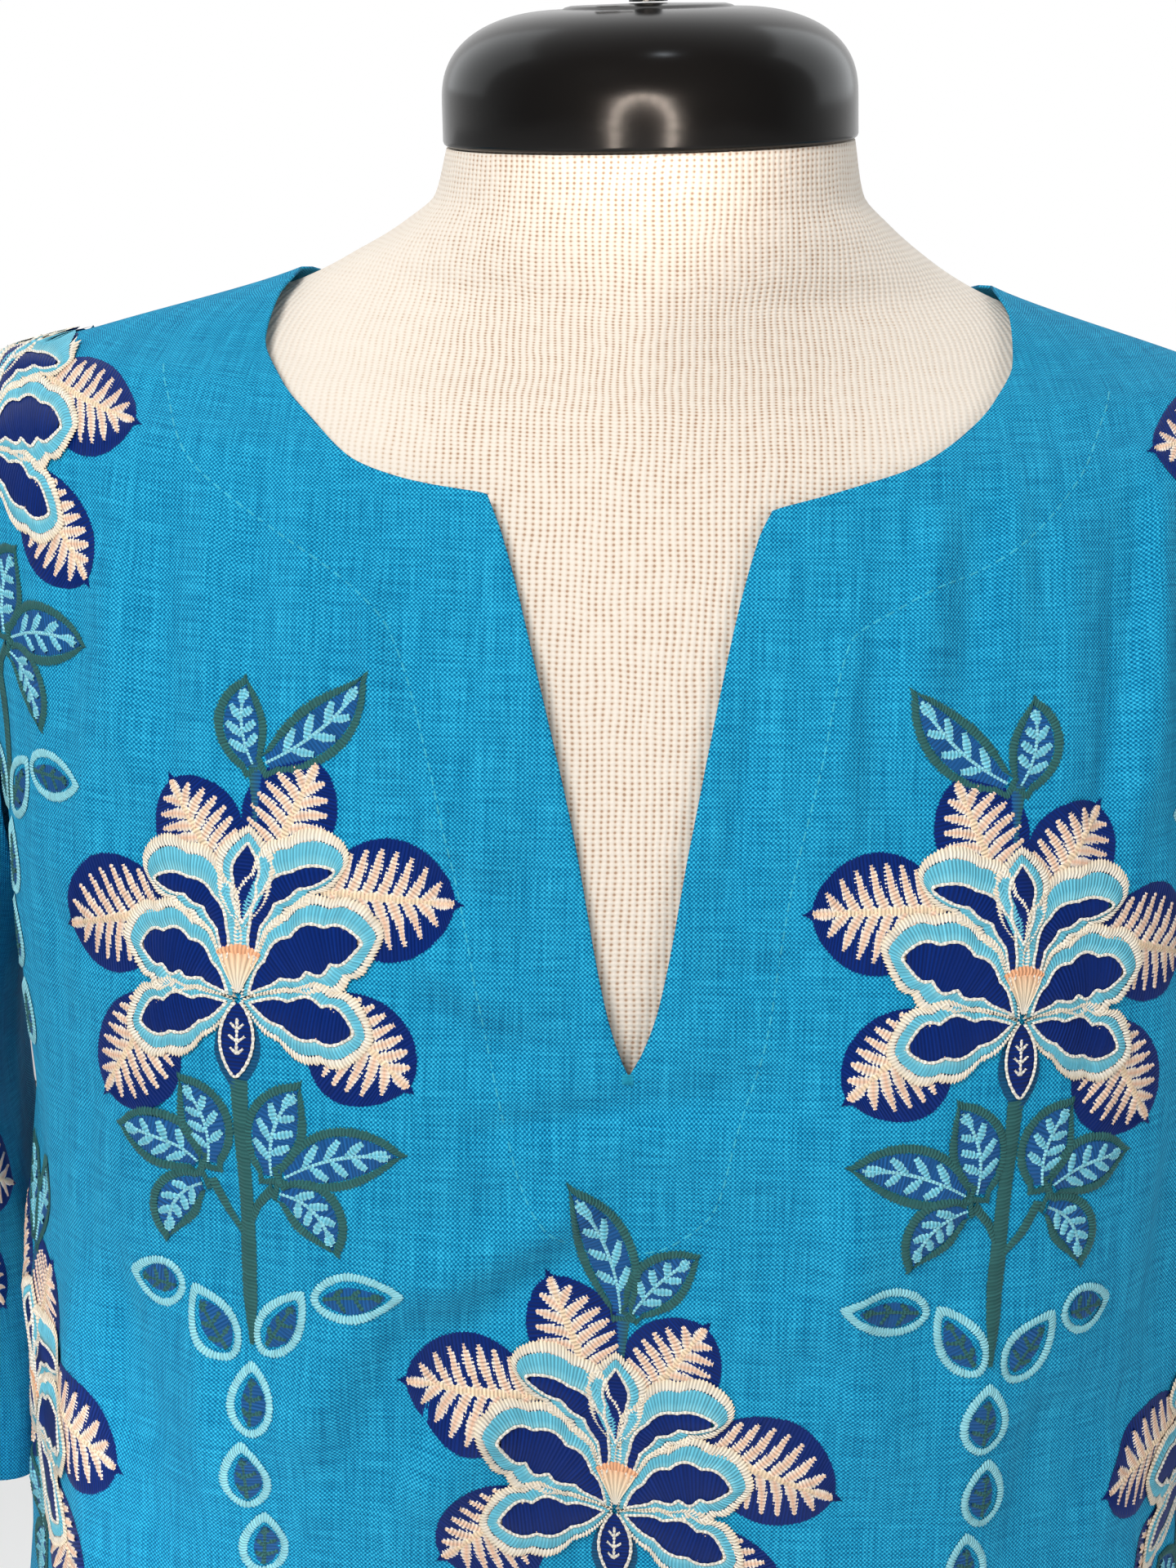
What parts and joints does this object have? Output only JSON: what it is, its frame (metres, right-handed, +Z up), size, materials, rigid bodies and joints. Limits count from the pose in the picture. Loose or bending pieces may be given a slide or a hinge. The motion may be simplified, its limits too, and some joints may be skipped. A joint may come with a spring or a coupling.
{
  "type": "split-neck blouse on dress form",
  "caption": "Loose embroidered split-neck blouse with elbow sleeves, worn by a limbless dress form on a round base.",
  "frame": {"origin": "middle of the stand base's underside, on the surface that the form stands on", "axes": "+Z up, the blouse's front faces -Y, +X is the wearer's left"},
  "size_m": [0.514, 0.29, 0.9467],
  "materials": {
    "linen": "matte slubby plain weave, turquoise",
    "thread": "satin stitch embroidery in navy, pale blue, cream, peach and grey green",
    "knit": "open cream jersey stretched over the form",
    "cap": "glossy black with a brown metallic cast",
    "hardware": "dark satin",
    "stand": "black satin"
  },
  "bodies": {
    "root": {"blouse_front": "linen", "blouse_back": "linen", "sleeve_left": "linen", "sleeve_right": "linen", "form_torso": "knit", "neck_cap": "cap", "cap_post": "hardware", "cap_screw": "hardware", "stand_pole": "stand", "stand_base": "stand"}
  },
  "joints": []
}
